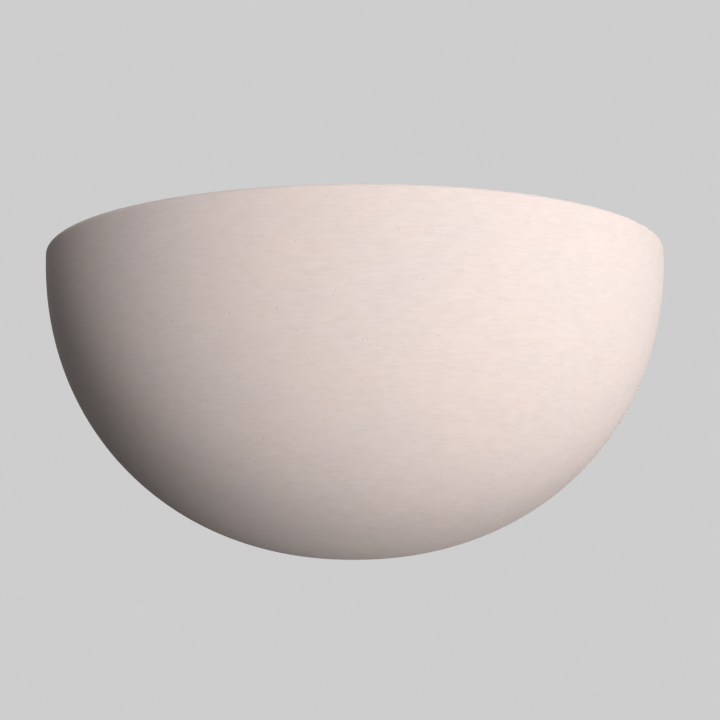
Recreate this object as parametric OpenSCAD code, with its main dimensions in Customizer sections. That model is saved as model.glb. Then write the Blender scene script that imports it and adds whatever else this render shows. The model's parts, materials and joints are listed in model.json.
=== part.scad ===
// Half-bowl uplighter wall light in unglazed ceramic, with its wall plate, lampholder and lamp.
// Millimetres. +X is right as seen from the room, +Y points into the wall and +Z is up.
// The origin is on the wall, midway between the two fixing slots.

/* [Bowl] */
// Width of the bowl along the wall
bowl_width = 310; // [306:1:320]
// How far the bowl stands out from the wall
bowl_depth = 120; // [118:1:130]
// Height of the bowl, from its lowest point to its rim
bowl_height = 152; // [148:1:165]
// Thickness of the ceramic at the two ends of the bowl
bowl_wall = 7; // [6:0.5:8]
// Fullness of the bowl's curve: 2 is an ellipse and more is squarer
bowl_fullness = 2.1; // [2:0.05:2.3]
// Radius of the rounded rim
rim_round = 2.5; // [1:0.5:2.5]
// Height of the rim above the middle of the wall plate
rim_height = 60; // [56:1:64]

/* [Wall plate] */
// Length of the steel wall plate
plate_length = 240; // [236:1:244]
// Height of the wall plate
plate_height = 34; // [33:1:36]
// Thickness of the sheet steel
steel = 1.5; // [1.2:0.1:1.6]
// Distance between the middles of the two fixing slots
slot_spacing = 168; // [167:1:170]
// Width of a fixing slot
slot_width = 5.5; // [4.5:0.5:6]
// Length of a fixing slot from end to end
slot_length = 12; // [9:1:12]
// Bore of the grommet that the supply cable comes through
cable_bore = 10; // [8:1:11]

/* [Ears] */
// Distance between the two thumb screws
thumb_spacing = 218; // [216:1:220]
// Width of each ear
ear_width = 22; // [18:1:22]
// How far each ear reaches out from the wall
ear_reach = 28; // [24:1:30]
// Thickness of the cast lug that the thumb screw holds down
lug_thick = 10; // [8:1:12]
// Diameter of the thumb screw's thread
thumb_thread = 5; // [4:1:5]
// Diameter of the thumb screw's knurled head
thumb_head = 16; // [14:1:18]

/* [Lampholder and lamp] */
// Distance of the lamp's axis from the wall
lamp_out = 62; // [60:1:64]
// Height of the lamp's axis above the middle of the wall plate
lamp_up = 10; // [8:1:12]
// Length of the lamp
lamp_length = 107; // [104:1:110]
// Diameter of the lamp's bulb
bulb_diameter = 60; // [55:1:62]
// Outer diameter of the lampholder's skirt
skirt_diameter = 41; // [40.5:0.5:43]

/* [Hidden] */
$fn = 64;

// Gaps between pieces
fit_gap = 0.05;
slide_gap = 0.25;
through = 1;

// Bowl
half_width = bowl_width / 2;
flatten = bowl_depth / half_width;
curve_steps = 30;
rim_steps = 5;
curve_below_rim = 0.5;
lug_past_thumb = 14;
lug_short_of_ear = 2;
lug_inner_x = thumb_spacing / 2 - lug_past_thumb;
lug_out = ear_reach - lug_short_of_ear;
lug_corner = 5;
slot_gap = 0.5;
slot_corner = 0.8;

// Wall plate and ears
plate_top = plate_height / 2;
bend = steel;
plate_corner = 4;
ear_corner = 5;
cable_x = 30;
dish_depth = 2;
dish_radius = 12.5;
dish_slope = 2.5;
cable_hole_r = 8;
cable_lip = 2.6;
cable_lip_thick = 1.6;
lip_chamfer = 0.6;
ear_relief = 4;
thumb_off_middle = 1;
thumb_out = lug_out / 2 + thumb_off_middle;
pad_thick = 1.5;
pad_trim = 2;
pad_play = 0.6;

// Heights of the stack on each ear, from the steel up
pad_z = plate_top;
lug_z = pad_z + pad_thick + slide_gap;
washer_z = lug_z + lug_thick + slide_gap;
washer_thick = 1.2;
washer_step = 1;
washer_play = 0.15;
head_gap = 0.1;
screw_z = washer_z + washer_thick + head_gap;
collar_height = 2.5;
collar_step = 5;
head_height = 8;
head_chamfer = 0.8;
knurls = 28;
knurl_depth = 0.45;
thread_pitch = 0.8;
thread_depth = 0.4;
nut_height = 4;
nut_chamfer = 0.5;
nut_radius = thumb_thread * 0.95;
nut_spigot = thumb_thread * 0.7;
screw_below_nut = 3.2;
thread_length = 12;
screw_end_z = plate_top - steel - nut_height - screw_below_nut;
thread_top_z = screw_end_z + thread_length;

// Lampholder arm
arm_x = -74;
arm_low = -15;
arm_high = 13;
arm_eye = 14;
flange_end_x = -51;
rivet_x = -57;
rivet_zs = [-9, 7];
rivet_shank = 1.6;
rivet_head = 3.2;
rivet_dome = 1.4;
rivet_dome_r = 4.4;
lead_hole = [-13, -8.5];
lead_hole_r = 4.5;
lead_lip = 1.3;
lead_lip_thick = 1;

// Lampholder, along its own axis
nipple_washer_r = 9;
nipple_washer_thick = 1;
holder_back_x = arm_x + nipple_washer_thick;
holder_mouth_x = -16;
nipple_r = 5;
nipple_pitch = 1;
nipple_thread = 0.35;
nipple_wall = 1.5;
nipple_play = 0.1;
nipple_behind_arm = 12;
nipple_in_holder = 4.5;
nipple_start_x = arm_x - nipple_behind_arm;
nipple_end_x = holder_back_x + nipple_in_holder;
bush_bore = 2.7;
bush_shank = 3.45;
bush_lip = 4.8;
bush_lip_thick = 1.2;
bush_chamfer = 0.4;
bush_length = 5;
locknut_across = 14;
locknut_height = 4;
dome_flat = 9.5;
dome_chamfer = 1;
dome_round = 8;
dome_back = 4;
cavity_round = 7;
skirt_r = skirt_diameter / 2;
dome_inset = 1.5;
neck_inset = 2.3;
neck_wall = 1.4;
insert_gap = 0.3;
dome_r = skirt_r - dome_inset;
neck_r = skirt_r - neck_inset;
neck_start_x = -43;
neck_end_x = -35;
cavity_r = neck_r - neck_wall;
insert_r = cavity_r - insert_gap;
insert_wall = 1.6;
insert_flange = 2;
contact_hole_r = 1.05;
sleeve_steps = 42;
disc_back_x = -55;
disc_front_x = -50;
sleeve_start_x = -45;
sleeve_end_x = -19;
sleeve_inner_r = 13.3;
sleeve_wave = 0.8;
sleeve_thick = 0.35;
terminal_offset = 6;
terminal_back_x = -60.5;
contact_root_z = -12;
contact_thick = 0.4;
contact_width = 4;
contact_foot = 2.2;
button_thick = 0.9;
button_r = 2.6;
contact_rivet_r = 1;
contact_rivet_head_r = 1.8;
contact_rivet_head = 0.8;
holder_terminal = 6;
terminal_screw_x = 2.5;

// Lamp
cap_tip_x = -46;
cap_pitch = 3.629;
cap_crest_r = 13;
cap_wave = 0.85;
cap_thick = 0.3;
cap_length = 26.5;
cap_base = 6;
cap_mouth_r = 9.5;
tip_height = 1.2;
tip_r = 4.8;
cap_end_x = cap_tip_x + cap_length;
cap_start_x = cap_tip_x + cap_base;
bulb_r = bulb_diameter / 2;
bulb_x = cap_tip_x + lamp_length - bulb_r;
neck_glass_r = 12.5;
shoulder_r = 40;
glass = 0.8;
glass_in_cap = 3;
glass_start_x = cap_end_x - glass_in_cap;
filament_behind_centre = 8;
filament_x = bulb_x - filament_behind_centre;
filament_r = 11;
filament_wire = 0.35;
filament_start = 125;
filament_sweep = 290;
lamp_lead_wire = 0.4;
lamp_support_wire = 0.2;
press_x = 6;
stem_behind_filament = 4;
stem_tip_x = filament_x - stem_behind_filament;

// Terminal block and earth point
poles = 3;
block_x = -12;
block_length = 22;
block_base = 3;
block_corner = 1.5;
pole_pitch = 12;
pole_rise = 7;
pole_out = steel + pole_rise;
barrel_r = 3.9;
clamp_r = 2.8;
clamp_bore = 1.8;
clamp_length = 18;
screw_step = 5;
tower_r = 3.1;
tower_bore = 2;
tower_rise = 14;
tower_out = steel + tower_rise;
terminal_thread_r = 1.3;
block_screw_r = 1.25;
block_screw_play = 0.15;
block_head_hole_r = 2.5;
past_block = 20;
earth_x = -46;
earth_thread_r = 2;
earth_washer_r = 4.2;
earth_washer_thick = 0.8;
ring_r = 4;
ring_thick = 0.8;
ring_neck = 3;
ring_reach = 5;
earth_wing_x = earth_x + ring_reach;
ferrule_r = 1.9;
ferrule_length = 4.5;
ferrule_lap = 0.5;
earth_stack = earth_washer_thick + ring_thick;
earth_tip_gap = 0.2;
earth_head_r = 3.6;
earth_head_height = 2.4;
earth_head_dome = 6;
earth_slot_width = 1;
earth_slot_up = 1.3;

// Leads: their routes are points chosen by hand, in [x, y, z]
lead_r = 1.1;
core_r = 0.6;
lead_play = 0.1;
lead_sides = 8;
lead_rings_per_span = 2;
core_in_holder = 3;
core_in_block = 7;
core_in_ring = 4;
live_route = [[-22, -8.5, 12], [-24, -8.5, 12], [-27, -8.5, 12], [-45, -11, 5], [-62, -13, -4],
  [-74.5, -13, -7.2], [-87, -15, -7], [-97, -24, -4], [-101, -37, 2], [-98, -50, 7.5],
  [-90, -60, 10.8], [-82, -62, 11.3], [-70, -62, 11.3], [-66, -62, 13.6], [-63, -62, 16],
  [-62, -62, 16], [-61, -62, 16]];
neutral_route = [[-22, -8.5, -12], [-24, -8.5, -12], [-27, -8.5, -12], [-45, -11, -12],
  [-62, -13, -10.5], [-74.5, -13, -9.8], [-87, -15, -9.6], [-97, -24, -7], [-101, -37, -1],
  [-98, -50, 4.7], [-90.5, -61, 8.3], [-82, -62, 8.7], [-70, -62, 8.7], [-66, -62, 6.4],
  [-63, -62, 4], [-62, -62, 4], [-61, -62, 4]];
earth_route = [[-22, -8.5, 0], [-23, -8.5, 0], [-24.5, -8.5, 0], [-28, -7.3, 0], [-32, -5.3, 0],
  [-35, -4.2, 0], [-36.5, -4.2, 0], [-37.5, -4.2, 0]];

// Colours
bisque = [0.91, 0.86, 0.83];
zinc = [0.72, 0.73, 0.74];
tinned = [0.78, 0.74, 0.66];
brass = [0.80, 0.66, 0.34];
solder = [0.75, 0.74, 0.70];
black = [0.09, 0.09, 0.10];
white = [0.93, 0.92, 0.89];

// ---------- shapes that repeat ----------

// Points of a round stretch in a plane
function arc(centre, r, from, to, steps) = [
  for (i = [0:steps])
    let (a = from + (to - from) * i / steps)
      [centre[0] + r * cos(a), centre[1] + r * sin(a)]];

// Point of the bowl's outline at angle t, from the rim (0) to the bottom (90)
function bowl_point(half, height, t) =
  [half * pow(cos(t), 2 / bowl_fullness), -height * pow(sin(t), 2 / bowl_fullness)];

// The bowl's outline below its rounded rim, for a surface set in by some distance
function bowl_curve(inset) = [
  for (i = [1:curve_steps])
    let (p = bowl_point(half_width - inset, bowl_height - inset, 90 * i / curve_steps))
      if (p[1] < -rim_round - curve_below_rim) p];

// A list in the other order
function turned(list) = [for (i = [len(list) - 1:-1:0]) list[i]];

// Zigzag outline of a thread drawn as rings, from low to high
function ring_thread(r, depth, pitch, low, high) = let (n = floor((high - low) / pitch)) concat(
  [[0, low], [r - depth, low]],
  [for (i = [0:n - 1]) each [[r, low + (i + 0.5) * pitch], [r - depth, low + (i + 1) * pitch]]],
  [[r - depth, high], [0, high]]);

// Rounded waves of a screw shell, from low to high
function wave(r, depth, pitch, low, high, steps) = [
  for (i = [0:steps])
    let (x = low + (high - low) * i / steps)
      [r + depth * (0.5 - 0.5 * cos(360 * (x - cap_tip_x) / pitch)), x]];

// A plate outline with rounded corners, centred
module rounded_rect(w, h, r) {
  square([w - 2 * r, h], center = true);
  square([w, h - 2 * r], center = true);
  for (x = [-1, 1], y = [-1, 1])
    translate([x * (w / 2 - r), y * (h / 2 - r)]) circle(r);
}

// A slot outline that runs along X, centred
module slot(length, width) {
  square([length - width, width], center = true);
  for (x = [-1, 1])
    translate([x * (length - width) / 2, 0]) circle(d = width);
}

// Turns a drawing's X and Y into the wall's X and Z, and its height towards the room
module on_wall(out = 0) translate([0, -out, 0]) rotate([90, 0, 0]) children();

// Puts a turned piece on the lamp's axis: its own Z becomes X
module on_lamp_axis() translate([0, -lamp_out, lamp_up]) rotate([0, 90, 0]) children();

// A turned piece from its outline of [radius, x] points, on the lamp's axis
module turned_piece(points) on_lamp_axis() rotate_extrude() polygon(points);

// Puts a piece at the thumb screw on one side: -1 is left and 1 is right
module at_thumb(side, z = 0) translate([side * thumb_spacing / 2, -thumb_out, z]) children();

// A straight round rod between two points
module rod(from, to, r) {
  run = to - from;
  length = norm(run);
  translate(from) rotate([0, acos(run[2] / length), atan2(run[1], run[0])]) cylinder(r = r, h = length);
}

// ---------- leads ----------

function unit(v) = v / norm(v);

// Point on a smooth curve through a route, s spans along it
function along(route, s) =
  let (last = len(route) - 1,
    i = min(floor(s), last - 1),
    t = s - i,
    p0 = route[max(i - 1, 0)],
    p1 = route[i],
    p2 = route[i + 1],
    p3 = route[min(i + 2, last)])
  0.5 * (2 * p1 + (p2 - p0) * t + (2 * p0 - 5 * p1 + 4 * p2 - p3) * t * t
    + (3 * p1 - p0 - 3 * p2 + p3) * t * t * t);

// A round lead along a route, as one closed tube
module lead(route, rings_per_span) {
  count = (len(route) - 1) * rings_per_span;
  centres = [for (i = [0:count]) along(route, i / rings_per_span)];
  headings = [for (i = [0:count]) unit(centres[min(i + 1, count)] - centres[max(i - 1, 0)])];
  side = [0.1, 0.2, 1];
  rings = [
    for (i = [0:count], k = [0:lead_sides - 1])
      let (u = unit(cross(headings[i], side)), v = cross(headings[i], u), a = 360 * k / lead_sides)
        centres[i] + lead_r * (cos(a) * u + sin(a) * v)];
  wall = [
    for (i = [0:count - 1], k = [0:lead_sides - 1])
      let (a = i * lead_sides + k, b = i * lead_sides + (k + 1) % lead_sides)
        each [[a, b, b + lead_sides], [a, b + lead_sides, a + lead_sides]]];
  start = [for (k = [1:lead_sides - 2]) [0, k + 1, k]];
  finish = let (f = count * lead_sides) [for (k = [1:lead_sides - 2]) [f, f + k, f + k + 1]];
  polyhedron(rings, [for (face = concat(wall, start, finish)) turned(face)]);
}

module live_lead() color("saddlebrown") lead(live_route, lead_rings_per_span);

module neutral_lead() color("royalblue") lead(neutral_route, lead_rings_per_span);

module earth_lead() color("yellowgreen") lead(earth_route, lead_rings_per_span);

// The bared copper at both ends of each lead, inside its clamp
module conductor_ends() color("chocolate") {
  for (route = [live_route, neutral_route])
    translate(route[len(route) - 1]) rotate([0, 90, 0]) cylinder(r = core_r, h = core_in_holder);
  for (route = [live_route, neutral_route, earth_route])
    translate(route[0]) rotate([0, 90, 0]) cylinder(r = core_r, h = core_in_block);
  translate(earth_route[len(earth_route) - 1]) rotate([0, -90, 0])
    cylinder(r = core_r, h = core_in_ring);
}

// ---------- ceramic bowl ----------

// A half bowl from its outline, flattened front to back, hanging below its rim
module half_bowl()
  translate([0, 0, rim_height]) scale([1, flatten, 1]) rotate([0, 0, 180])
    rotate_extrude(angle = 180) children();

module bowl_section() polygon(concat(
  arc([half_width - rim_round, -rim_round], rim_round, 90, 0, rim_steps),
  bowl_curve(0),
  turned(bowl_curve(bowl_wall)),
  arc([half_width - bowl_wall + rim_round, -rim_round], rim_round, 180, 90, rim_steps)));

// What a lug may fill: the bowl's inside, and half of its wall
module lug_limit() {
  top = -rim_round - 2 * curve_below_rim;
  half_bowl() polygon(concat([[0, top], [half_width - bowl_wall / 2, top]], bowl_curve(bowl_wall / 2)));
}

// A shelf cast at one end of the bowl, with a flat-ended slot open to the wall for the thumb screw
module lug(side) {
  reach = half_width - lug_inner_x;
  slot_across = thumb_thread + 2 * slot_gap;
  slot_reach = thumb_out + slot_across / 2;
  translate([0, 0, lug_z]) linear_extrude(lug_thick) difference() {
    union() {
      translate([side * (lug_inner_x + lug_corner + reach / 2), -lug_out / 2])
        square([reach, lug_out], center = true);
      translate([side * (lug_inner_x + lug_corner), -(lug_out - lug_corner) / 2])
        square([2 * lug_corner, lug_out - lug_corner], center = true);
      translate([side * (lug_inner_x + lug_corner), -(lug_out - lug_corner)]) circle(lug_corner);
    }
    translate([side * thumb_spacing / 2, (through - slot_reach) / 2])
      rounded_rect(slot_across, slot_reach + through, slot_corner);
  }
}

module ceramic_shell() color(bisque) {
  half_bowl() bowl_section();
  for (side = [-1, 1])
    intersection() {
      lug_limit();
      lug(side);
    }
}

// ---------- wall plate ----------

// The forward-bent ear at one end, with the bend that joins it to the plate
module ear(side) {
  at_x = side * (plate_length - ear_width) / 2;
  start = steel + bend;
  translate([at_x, 0, 0]) {
    translate([0, -(start + ear_reach) / 2, plate_top - steel]) linear_extrude(steel) {
      rounded_rect(ear_width, ear_reach - start, ear_corner);
      translate([0, ear_corner / 2 + (ear_reach - start) / 2 - ear_corner])
        square([ear_width, ear_corner], center = true);
    }
    translate([-ear_width / 2, -start, plate_top - start]) rotate([90, 0, 90])
      linear_extrude(ear_width) intersection() {
        difference() {
          circle(start);
          circle(bend);
        }
        square(start);
      }
  }
}

// The shallow dish round the cable hole, which leaves room for the grommet's back lip
module cable_dish(inset) translate([cable_x, 0, 0]) rotate([90, 0, 0]) rotate_extrude()
  polygon([[0, -through + inset], [dish_radius + dish_slope - inset, -through + inset],
    [dish_radius + dish_slope - inset, inset], [dish_radius - inset, dish_depth + inset],
    [0, dish_depth + inset]]);

// A round hole through the plate
module plate_hole(x, z, r)
  on_wall(-through) translate([x, z, 0]) cylinder(r = r, h = steel + 2 * through);

module wall_plate() color(zinc) difference() {
  union() {
    difference() {
      union() {
        on_wall() linear_extrude(steel) {
          rounded_rect(plate_length, plate_height - 2 * (steel + bend), plate_corner);
          rounded_rect(plate_length - 2 * ear_width - ear_relief, plate_height, plate_corner);
          translate([0, -(steel + bend) / 2])
            rounded_rect(plate_length, plate_height - steel - bend, plate_corner);
          for (side = [-1, 1])
            translate([side * (plate_length - ear_width) / 2, plate_top - steel - bend - plate_corner])
              square([ear_width, 2 * plate_corner], center = true);
        }
        translate([cable_x, 0, 0]) rotate([90, 0, 0])
          cylinder(r1 = dish_radius + dish_slope + steel, r2 = dish_radius + steel / 2,
            h = dish_depth + steel);
      }
      cable_dish(0);
      translate([cable_x, through, 0]) rotate([90, 0, 0])
        cylinder(r = cable_hole_r, h = dish_depth + steel + 2 * through);
    }
    for (side = [-1, 1]) ear(side);
  }
  for (side = [-1, 1]) {
    on_wall(-through) translate([side * slot_spacing / 2, 0, 0])
      linear_extrude(steel + 2 * through) slot(slot_length, slot_width);
    at_thumb(side, plate_top - steel - through)
      cylinder(r = nut_spigot + fit_gap, h = steel + 2 * through);
  }
  for (z = rivet_zs) plate_hole(rivet_x, z, rivet_shank + fit_gap);
  plate_hole(earth_x, 0, earth_thread_r + fit_gap);
  plate_hole(block_x, pole_pitch / 2, block_screw_r + fit_gap);
}

// A rubber ring with a groove for the edge of a hole in sheet steel
module grommet(hole_r, bore_r, lip, lip_thick, sheet) {
  lip_r = hole_r + lip;
  groove_r = hole_r - fit_gap;
  front = sheet + lip_thick;
  rotate_extrude() polygon([
    [bore_r, -lip_thick], [lip_r - lip_chamfer, -lip_thick], [lip_r, -lip_thick + lip_chamfer],
    [lip_r, 0], [groove_r, 0], [groove_r, sheet], [lip_r, sheet],
    [lip_r, front - lip_chamfer], [lip_r - lip_chamfer, front], [bore_r, front]]);
}

module cable_grommet() color(black) translate([cable_x, -dish_depth, 0]) rotate([90, 0, 0])
  grommet(cable_hole_r, cable_bore / 2, cable_lip, cable_lip_thick, steel);

module clinch_nut(side) color(zinc) at_thumb(side, plate_top - steel) difference() {
  union() {
    translate([0, 0, -nut_height]) cylinder(r1 = nut_radius - nut_chamfer, r2 = nut_radius, h = nut_chamfer);
    translate([0, 0, nut_chamfer - nut_height]) cylinder(r = nut_radius, h = nut_height - nut_chamfer);
    cylinder(r = nut_spigot, h = steel);
  }
  translate([0, 0, -nut_height - through])
    cylinder(r = thumb_thread / 2 + fit_gap, h = nut_height + steel + 2 * through);
}

module ear_pad(side) color(black) difference() {
  translate([side * (plate_length - ear_width) / 2, -ear_reach / 2, pad_z]) linear_extrude(pad_thick)
    rounded_rect(ear_width - pad_trim, ear_reach - 2 * pad_trim, ear_corner - pad_trim);
  at_thumb(side, pad_z - through) cylinder(r = thumb_thread / 2 + pad_play, h = pad_thick + 2 * through);
}

// ---------- thumb screws ----------

module knurled_head() intersection() {
  linear_extrude(head_height) polygon([
    for (i = [0:4 * knurls - 1])
      let (a = 90 * i / knurls, r = thumb_head / 2 - knurl_depth * [0, 0.5, 1, 0.5][i % 4])
        [r * cos(a), r * sin(a)]]);
  rotate_extrude() polygon([[0, 0], [thumb_head / 2 - head_chamfer, 0], [thumb_head / 2, head_chamfer],
    [thumb_head / 2, head_height - head_chamfer], [thumb_head / 2 - head_chamfer, head_height],
    [0, head_height]]);
}

module thumb_screw(side) color(brass) at_thumb(side) {
  rotate_extrude() polygon(concat(
    ring_thread(thumb_thread / 2, thread_depth, thread_pitch, screw_end_z, thread_top_z),
    [[0, thread_top_z]]));
  translate([0, 0, thread_top_z]) cylinder(d = thumb_thread - thread_depth, h = screw_z - thread_top_z);
  translate([0, 0, screw_z]) cylinder(d = thumb_head - collar_step, h = collar_height);
  translate([0, 0, screw_z + collar_height]) knurled_head();
}

module thumb_washer(side) color(zinc) at_thumb(side, washer_z) difference() {
  cylinder(d = thumb_head - washer_step, h = washer_thick);
  translate([0, 0, -through]) cylinder(r = thumb_thread / 2 + washer_play, h = washer_thick + 2 * through);
}

// ---------- lampholder arm ----------

// Where a line from a point touches a circle: side is 1 above and -1 below
function touch(point, centre, r, side) =
  let (run = point - centre,
    reach = norm(run),
    a = atan2(run[1], run[0]) + side * acos(r / reach))
  centre + r * [cos(a), sin(a)];

// Outline of the arm in [-y, z]
module arm_outline() {
  eye = [lamp_out, lamp_up];
  root = steel + steel + bend;
  low = [root, arm_low];
  high = [root, arm_high];
  polygon([low, touch(low, eye, arm_eye, 1), eye, touch(high, eye, arm_eye, -1), high]);
  translate(eye) circle(arm_eye);
}

module lampholder_arm() color(zinc) difference() {
  union() {
    translate([arm_x, 0, 0]) rotate([90, 0, -90]) linear_extrude(steel) arm_outline();
    translate([arm_x + bend, -2 * steel - bend, arm_low]) linear_extrude(arm_high - arm_low)
      intersection() {
        difference() {
          circle(steel + bend);
          circle(bend);
        }
        translate([-steel - bend, 0]) square(steel + bend);
      }
    translate([arm_x + bend, -2 * steel, arm_low])
      cube([flange_end_x - arm_x - bend, steel, arm_high - arm_low]);
  }
  on_lamp_axis() translate([0, 0, arm_x - steel - through])
    cylinder(r = nipple_r + nipple_play, h = steel + 2 * through);
  translate([arm_x - steel - through, lead_hole[0], lead_hole[1]]) rotate([0, 90, 0])
    cylinder(r = lead_hole_r, h = steel + 2 * through);
  for (z = rivet_zs)
    on_wall(steel - through) translate([rivet_x, z, 0])
      cylinder(r = rivet_shank + fit_gap, h = steel + 2 * through);
}

module arm_rivets() color(zinc)
  for (z = rivet_zs)
    on_wall() translate([rivet_x, z, 0]) {
      cylinder(r = rivet_shank, h = 2 * steel);
      translate([0, 0, 2 * steel]) intersection() {
        cylinder(r = rivet_head, h = rivet_dome);
        translate([0, 0, rivet_dome - rivet_dome_r]) sphere(rivet_dome_r);
      }
    }

module lead_grommet() color(black)
  translate([arm_x - steel, lead_hole[0], lead_hole[1]]) rotate([0, 90, 0])
    grommet(lead_hole_r, lead_hole_r - lead_lip, lead_lip, lead_lip_thick, steel);

// ---------- earth point ----------

module earth_washer() color(zinc) on_wall(steel) translate([earth_x, 0, 0]) difference() {
  cylinder(r = earth_washer_r, h = earth_washer_thick);
  translate([0, 0, -through])
    cylinder(r = earth_thread_r + washer_play, h = earth_washer_thick + 2 * through);
}

module earth_ring_terminal() color(tinned) {
  on_wall(steel + earth_washer_thick) translate([earth_x, 0, 0]) linear_extrude(ring_thick) difference() {
    union() {
      circle(ring_r);
      translate([0, -ring_neck / 2]) square([ring_reach, ring_neck]);
    }
    circle(earth_thread_r + washer_play);
  }
  translate([earth_wing_x - ferrule_lap, -steel - earth_washer_thick - ferrule_r, 0]) rotate([0, 90, 0])
    difference() {
      cylinder(r = ferrule_r, h = ferrule_length);
      translate([0, 0, -through]) cylinder(r = lead_r + lead_play, h = ferrule_length + 2 * through);
    }
}

module earth_screw() color(brass) on_wall() translate([earth_x, 0, 0]) difference() {
  head_z = steel + earth_stack;
  union() {
    translate([0, 0, earth_tip_gap]) cylinder(r = earth_thread_r, h = head_z - earth_tip_gap);
    translate([0, 0, head_z]) intersection() {
      cylinder(r = earth_head_r, h = earth_head_height);
      translate([0, 0, earth_head_height - earth_head_dome]) sphere(earth_head_dome);
    }
  }
  translate([-earth_head_r - through, -earth_slot_width / 2, head_z + earth_slot_up])
    cube([2 * (earth_head_r + through), earth_slot_width, earth_head_height]);
}

// ---------- terminal block ----------

function pole_z(i) = (i - (poles - 1) / 2) * pole_pitch;

module terminal_block() color(white) difference() {
  union() {
    on_wall(steel) translate([block_x, 0, 0]) linear_extrude(block_base)
      rounded_rect(block_length, (poles - 1) * pole_pitch + 2 * barrel_r, block_corner);
    for (i = [0:poles - 1]) translate([block_x, 0, pole_z(i)]) {
      translate([-block_length / 2, -pole_out, 0]) rotate([0, 90, 0])
        cylinder(r = barrel_r, h = block_length);
      translate([-block_length / 2, -pole_out, -barrel_r])
        cube([block_length, pole_out - steel, 2 * barrel_r]);
      for (x = [-screw_step, screw_step])
        translate([x, -pole_out, 0]) rotate([90, 0, 0]) cylinder(r = tower_r, h = tower_out - pole_out);
    }
  }
  for (i = [0:poles - 1]) translate([block_x, -pole_out, pole_z(i)]) {
    rotate([0, 90, 0]) cylinder(r = clamp_r, h = clamp_length, center = true);
    rotate([0, 90, 0]) cylinder(r = clamp_bore, h = block_length + 2 * through, center = true);
    for (x = [-screw_step, screw_step])
      translate([x, 0, 0]) rotate([90, 0, 0]) cylinder(r = tower_bore, h = past_block);
  }
  on_wall() translate([block_x, pole_pitch / 2, 0])
    cylinder(r = block_screw_r + block_screw_play, h = past_block);
  on_wall(steel + block_base) translate([block_x, pole_pitch / 2, 0])
    cylinder(r = block_head_hole_r, h = past_block);
}

module terminal_clamps() color(brass)
  for (i = [0:poles - 1]) translate([block_x, -pole_out, pole_z(i)]) difference() {
    rotate([0, 90, 0]) cylinder(r = clamp_r - fit_gap, h = clamp_length - 2 * fit_gap, center = true);
    rotate([0, 90, 0]) cylinder(r = clamp_bore, h = clamp_length + 2 * through, center = true);
    for (x = [-screw_step, screw_step])
      translate([x, 0, 0]) rotate([90, 0, 0]) cylinder(r = terminal_thread_r + fit_gap, h = clamp_length);
  }

// A slotted screw that points at the wall
module slotted_screw(shank_r, shank, head_r, head, slot_cut) difference() {
  union() {
    cylinder(r = shank_r, h = shank);
    translate([0, 0, shank]) cylinder(r = head_r, h = head);
  }
  translate([-head_r - through, -slot_cut / 2, shank + head / 2])
    cube([2 * (head_r + through), slot_cut, head]);
}

module terminal_screws() color(zinc)
  for (i = [0:poles - 1], x = [-screw_step, screw_step])
    translate([block_x + x, -pole_out - core_r - fit_gap, pole_z(i)]) rotate([90, 0, 0])
      slotted_screw(shank_r = terminal_thread_r, shank = 3.4, head_r = 1.8, head = 1.6, slot_cut = 0.6);

module terminal_block_screw() color(zinc) {
  tip_gap = 0.1;
  on_wall(tip_gap) translate([block_x, pole_pitch / 2, 0])
    slotted_screw(shank_r = block_screw_r, shank = steel + block_base - tip_gap,
      head_r = 2.3, head = 1.8, slot_cut = 0.6);
}

// ---------- lampholder ----------

module holder_nipple() color(zinc) on_lamp_axis() difference() {
  rotate_extrude() polygon(ring_thread(nipple_r, nipple_thread, nipple_pitch, nipple_start_x, nipple_end_x));
  translate([0, 0, nipple_start_x - through])
    cylinder(r = nipple_r - nipple_wall, h = nipple_end_x - nipple_start_x + 2 * through);
}

module nipple_locknut() color(zinc) on_lamp_axis() translate([0, 0, arm_x - steel - locknut_height])
  difference() {
    cylinder(d = locknut_across / cos(30), h = locknut_height, $fn = 6);
    translate([0, 0, -through]) cylinder(r = nipple_r + fit_gap, h = locknut_height + 2 * through);
  }

module nipple_washer() color(zinc) on_lamp_axis() translate([0, 0, arm_x]) difference() {
  cylinder(r = nipple_washer_r, h = nipple_washer_thick);
  translate([0, 0, -through]) cylinder(r = nipple_r + nipple_play, h = nipple_washer_thick + 2 * through);
}

// The lipped bush that keeps the leads off the nipple's sharp end
module nipple_bush() color(white) {
  lip_x = nipple_start_x - bush_lip_thick;
  turned_piece([[bush_bore, lip_x], [bush_lip - bush_chamfer, lip_x], [bush_lip, lip_x + bush_chamfer],
    [bush_lip, nipple_start_x], [bush_shank, nipple_start_x], [bush_shank, nipple_start_x + bush_length],
    [bush_bore, nipple_start_x + bush_length]]);
}

module holder_dome() color(black) turned_piece(concat(
  [[nipple_r + fit_gap, holder_back_x], [dome_flat, holder_back_x],
    [dome_flat + dome_chamfer, holder_back_x + dome_chamfer]],
  arc([dome_r - dome_round, holder_back_x + dome_round + 2], dome_round, -80, 0, 8),
  [[dome_r, neck_start_x], [neck_r, neck_start_x], [neck_r, neck_end_x], [cavity_r, neck_end_x]],
  arc([cavity_r - cavity_round, holder_back_x + cavity_round + dome_back], cavity_round, 0, -85, 8),
  [[dome_flat, holder_back_x + dome_back], [nipple_r + fit_gap, holder_back_x + dome_back]]));

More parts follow.
